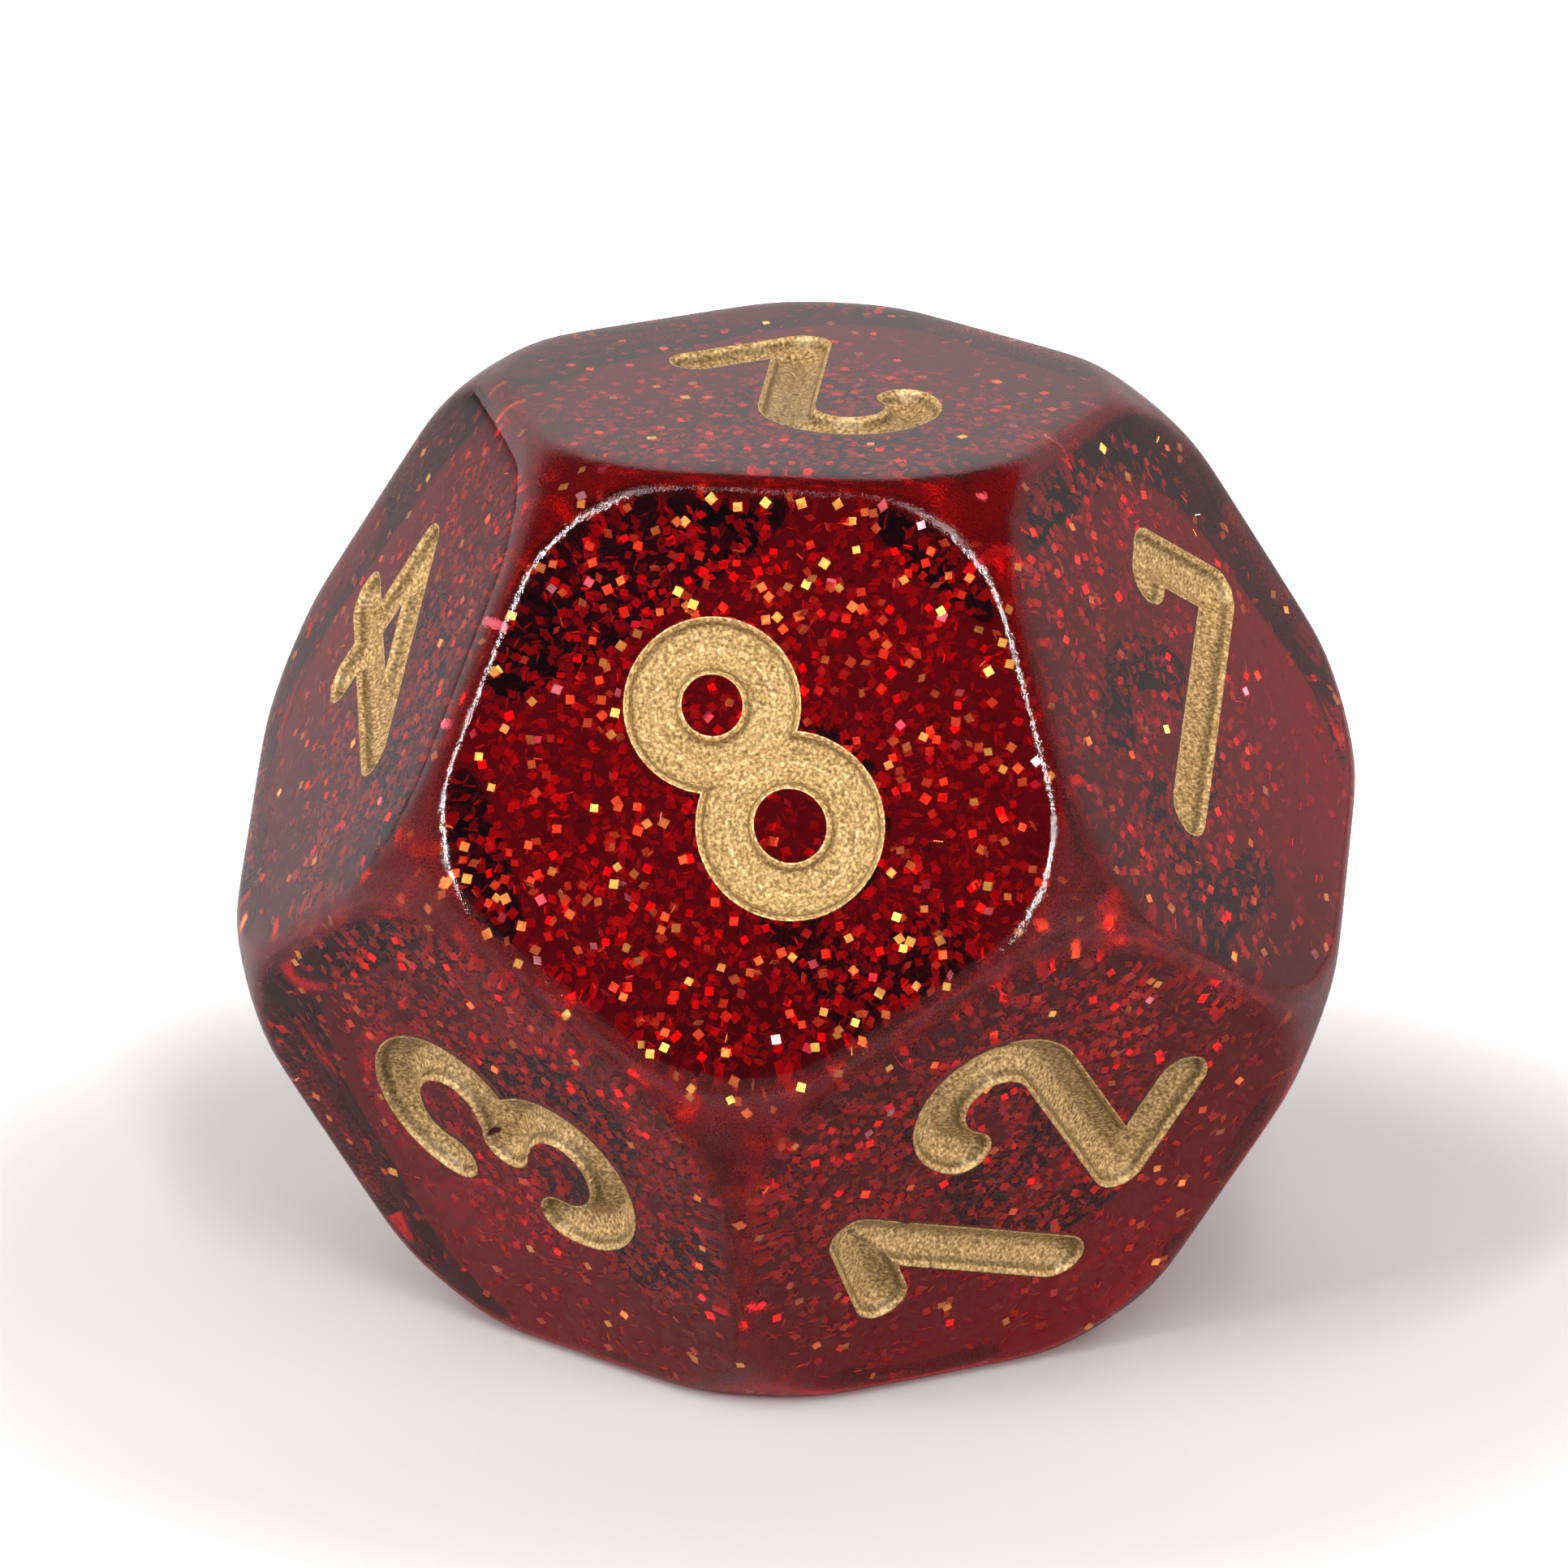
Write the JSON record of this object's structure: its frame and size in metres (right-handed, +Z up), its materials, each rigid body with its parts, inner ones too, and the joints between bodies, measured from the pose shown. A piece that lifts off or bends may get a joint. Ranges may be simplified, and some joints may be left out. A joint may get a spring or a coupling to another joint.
{
  "type": "twelve-sided die",
  "caption": "Twelve-sided game die of translucent red glitter resin with tumbled edges and engraved, gold-painted numbers.",
  "frame": {"origin": "centre of the face that the die rests on, which holds the 11", "axes": "+Z up through the opposite face, which holds the 2; -Y towards the face that holds the 8, which is turned 6.3 degrees towards -X"},
  "size_m": [0.0212, 0.0212, 0.018],
  "materials": {
    "resin": "polished translucent deep red, filled with glitter",
    "gold_paint": "metallic gold paint, slightly grainy",
    "foil_glitter": "square cut foil flakes"
  },
  "bodies": {
    "root": {"die_body": "resin", "gold_fill_1": "gold_paint", "gold_fill_10_one": "gold_paint", "gold_fill_10_zero": "gold_paint", "gold_fill_11_left": "gold_paint", "gold_fill_11_right": "gold_paint", "gold_fill_12_one": "gold_paint", "gold_fill_12_two": "gold_paint", "gold_fill_2": "gold_paint", "gold_fill_3": "gold_paint", "gold_fill_4": "gold_paint", "gold_fill_5": "gold_paint", "gold_fill_6": "gold_paint", "gold_fill_6_dot": "gold_paint", "gold_fill_7": "gold_paint", "gold_fill_8": "gold_paint", "gold_fill_9": "gold_paint", "gold_fill_9_dot": "gold_paint"}
  },
  "joints": []
}
